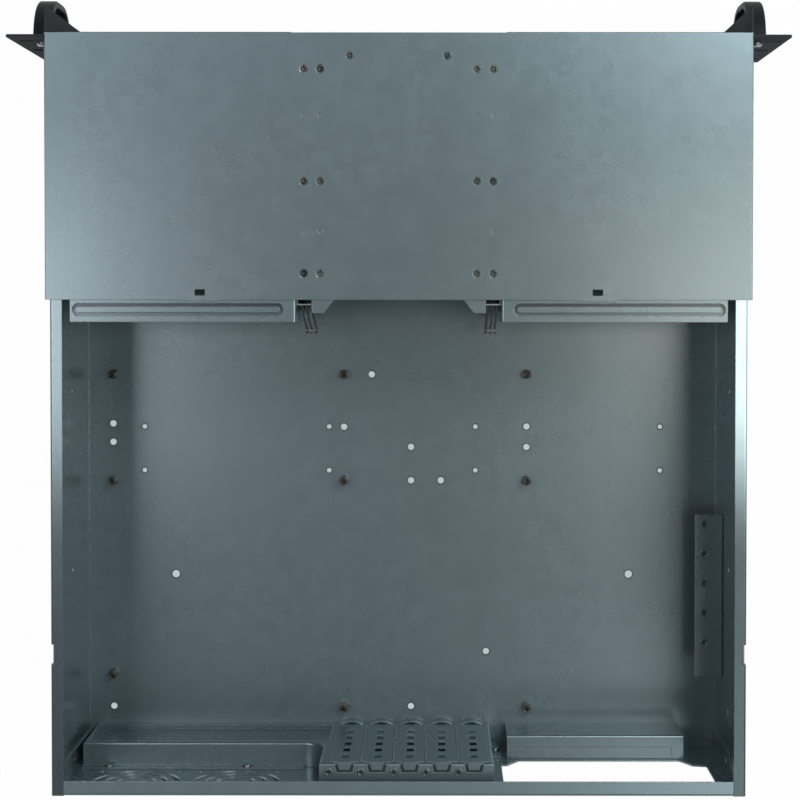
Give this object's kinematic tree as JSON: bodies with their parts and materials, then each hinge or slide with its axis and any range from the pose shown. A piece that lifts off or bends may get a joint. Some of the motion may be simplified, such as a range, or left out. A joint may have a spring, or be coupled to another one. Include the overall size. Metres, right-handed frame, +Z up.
{
  "type": "empty rackmount server case",
  "caption": "Empty rackmount server case with its rear lid off: steel tray with board posts, slot covers, fan grilles and supply cut-out, a fixed front roof, rack ears and handles.",
  "frame": {"origin": "middle of the case's bounding box at the underside of the tray", "axes": "+X to the case's right seen from its front, +Y from the front panel to the rear panel, +Z up"},
  "size_m": [0.4826, 0.4976, 0.1316],
  "materials": {
    "galvanised_steel": "galvanised sheet, semi-matt",
    "black_painted_steel": "black powder coat, matt",
    "black_handle": "black satin coat",
    "zinc_fixing": "zinc plated",
    "spring_steel": "dark spring steel with worn bright curls",
    "brass_standoff": "nickelled brass, dull",
    "black_plastic": "black moulded plastic, fine grain",
    "grey_plastic": "dark grey moulded plastic",
    "clear_lens": "clear moulded lens"
  },
  "bodies": {
    "case": {"chassis_tray": "galvanised_steel", "rear_panel": "galvanised_steel", "recess_panel": "galvanised_steel", "io_shield": "galvanised_steel", "slot_cover_1": "galvanised_steel", "slot_cover_2": "galvanised_steel", "slot_cover_3": "galvanised_steel", "slot_cover_4": "galvanised_steel", "slot_cover_5": "galvanised_steel", "psu_shelf": "galvanised_steel", "psu_side_rail": "galvanised_steel", "roof_cover": "galvanised_steel", "bay_bracket_left": "galvanised_steel", "bay_bracket_right": "galvanised_steel", "centre_cage": "galvanised_steel", "roof_channel_left": "galvanised_steel", "roof_channel_right": "galvanised_steel", "front_panel": "black_painted_steel", "rack_ear_left": "black_painted_steel", "rack_ear_right": "black_painted_steel", "handle_left": "black_handle", "handle_right": "black_handle", "handle_screws": "zinc_fixing", "ear_screws": "zinc_fixing", "roof_screws": "zinc_fixing", "rivets": "zinc_fixing", "recess_screws": "zinc_fixing", "latch_spring_left": "spring_steel", "latch_spring_right": "spring_steel", "standoffs": "brass_standoff", "bay_cover_left_1": "black_plastic", "bay_cover_left_2": "black_plastic", "bay_cover_left_3": "black_plastic", "bay_cover_right_1": "black_plastic", "bay_cover_right_2": "black_plastic", "bay_cover_right_3": "black_plastic", "drive_cover": "black_plastic", "power_switch": "black_plastic", "reset_switch": "black_plastic", "indicator_lenses": "clear_lens"},
    "power_button": {"power_button": "grey_plastic"},
    "reset_button": {"reset_button": "grey_plastic"}
  },
  "joints": [
    {"name": "power_button_press", "type": "slide", "parent": "case", "child": "power_button", "axis": [0, 1, 0], "range_m": [0, 0.0018], "stiffness_N_per_m": 500, "springref_m": -0.0006},
    {"name": "reset_button_press", "type": "slide", "parent": "case", "child": "reset_button", "axis": [0, 1, 0], "range_m": [0, 0.0018], "stiffness_N_per_m": 500, "springref_m": -0.0006}
  ]
}
